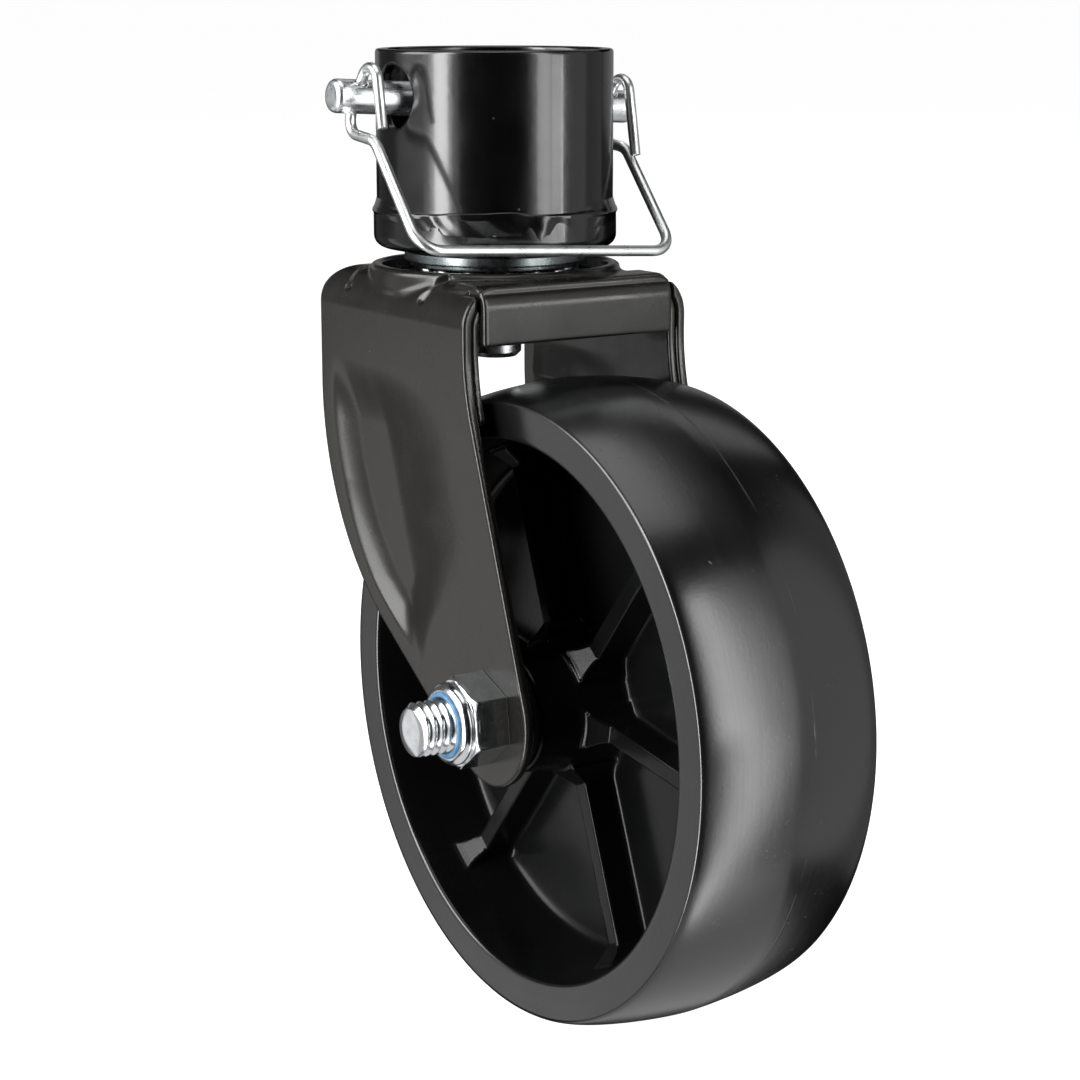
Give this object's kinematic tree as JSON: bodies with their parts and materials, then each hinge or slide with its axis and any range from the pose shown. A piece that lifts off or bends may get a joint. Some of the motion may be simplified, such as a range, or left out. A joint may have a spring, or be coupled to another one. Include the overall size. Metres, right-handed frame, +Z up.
{
  "type": "trailer jack caster wheel",
  "caption": "Swivelling caster foot for a trailer tongue jack: tube socket with lock pin and wire bail, ball swivel, stamped fork and a ribbed solid wheel.",
  "frame": {"origin": "centre of the socket sleeve's top rim, on the swivel axis", "axes": "+Z up along the swivel axis and out of the socket, +X towards the side the wheel trails on, Y along the axle with the bolt head at +Y"},
  "size_m": [0.1532, 0.0911, 0.2266],
  "materials": {
    "sleeve_paint": "gloss black paint",
    "fork_paint": "semi-gloss black paint",
    "zinc": "bright zinc plating",
    "race_steel": "oiled dark steel",
    "ball_steel": "polished bearing steel",
    "wheel_plastic": "satin moulded plastic",
    "nylon_blue": "translucent blue nylon",
    "nylon_black": "black nylon"
  },
  "bodies": {
    "socket": {"sleeve_tube": "sleeve_paint", "collar_cup": "sleeve_paint", "sleeve_weld": "sleeve_paint", "kingpin": "zinc", "upper_race": "race_steel", "lower_race": "race_steel", "kingpin_washer": "zinc", "kingpin_nut": "zinc"},
    "pin_and_bail": {"locking_pin": "zinc", "bail_wire": "zinc"},
    "upper_ball_row": {"upper_balls": "ball_steel"},
    "lower_ball_row": {"lower_balls": "ball_steel"},
    "fork": {"fork_shell": "fork_paint", "inner_channel": "fork_paint", "channel_welds": "fork_paint", "axle_bolt": "zinc", "axle_nut": "zinc", "nut_insert": "nylon_blue", "axle_sleeve": "zinc", "thrust_washers": "zinc"},
    "wheel": {"wheel": "wheel_plastic", "hub_bushings": "nylon_black"}
  },
  "joints": [
    {"name": "fork_swivel", "type": "hinge", "parent": "socket", "child": "fork", "pos_m": [0, 0, -0.0554], "axis": [0, 0, 1], "continuous": true},
    {"name": "upper_ball_orbit", "type": "hinge", "parent": "socket", "child": "upper_ball_row", "pos_m": [0, 0, -0.0529], "axis": [0, 0, 1], "continuous": true},
    {"name": "lower_ball_orbit", "type": "hinge", "parent": "socket", "child": "lower_ball_row", "pos_m": [0, 0, -0.0597], "axis": [0, 0, 1], "continuous": true},
    {"name": "wheel_spin", "type": "hinge", "parent": "fork", "child": "wheel", "pos_m": [0.045, 0, -0.1504], "axis": [0, 1, 0], "continuous": true},
    {"name": "bail_swing", "type": "hinge", "parent": "socket", "child": "pin_and_bail", "pos_m": [0, 0, -0.0127], "axis": [0, -0.9984, 0.0558], "range_deg": [0, 272]}
  ],
  "couplings": [
    {"joint": "upper_ball_orbit", "follows": "fork_swivel", "ratio": 0.5},
    {"joint": "lower_ball_orbit", "follows": "fork_swivel", "ratio": 0.5}
  ]
}
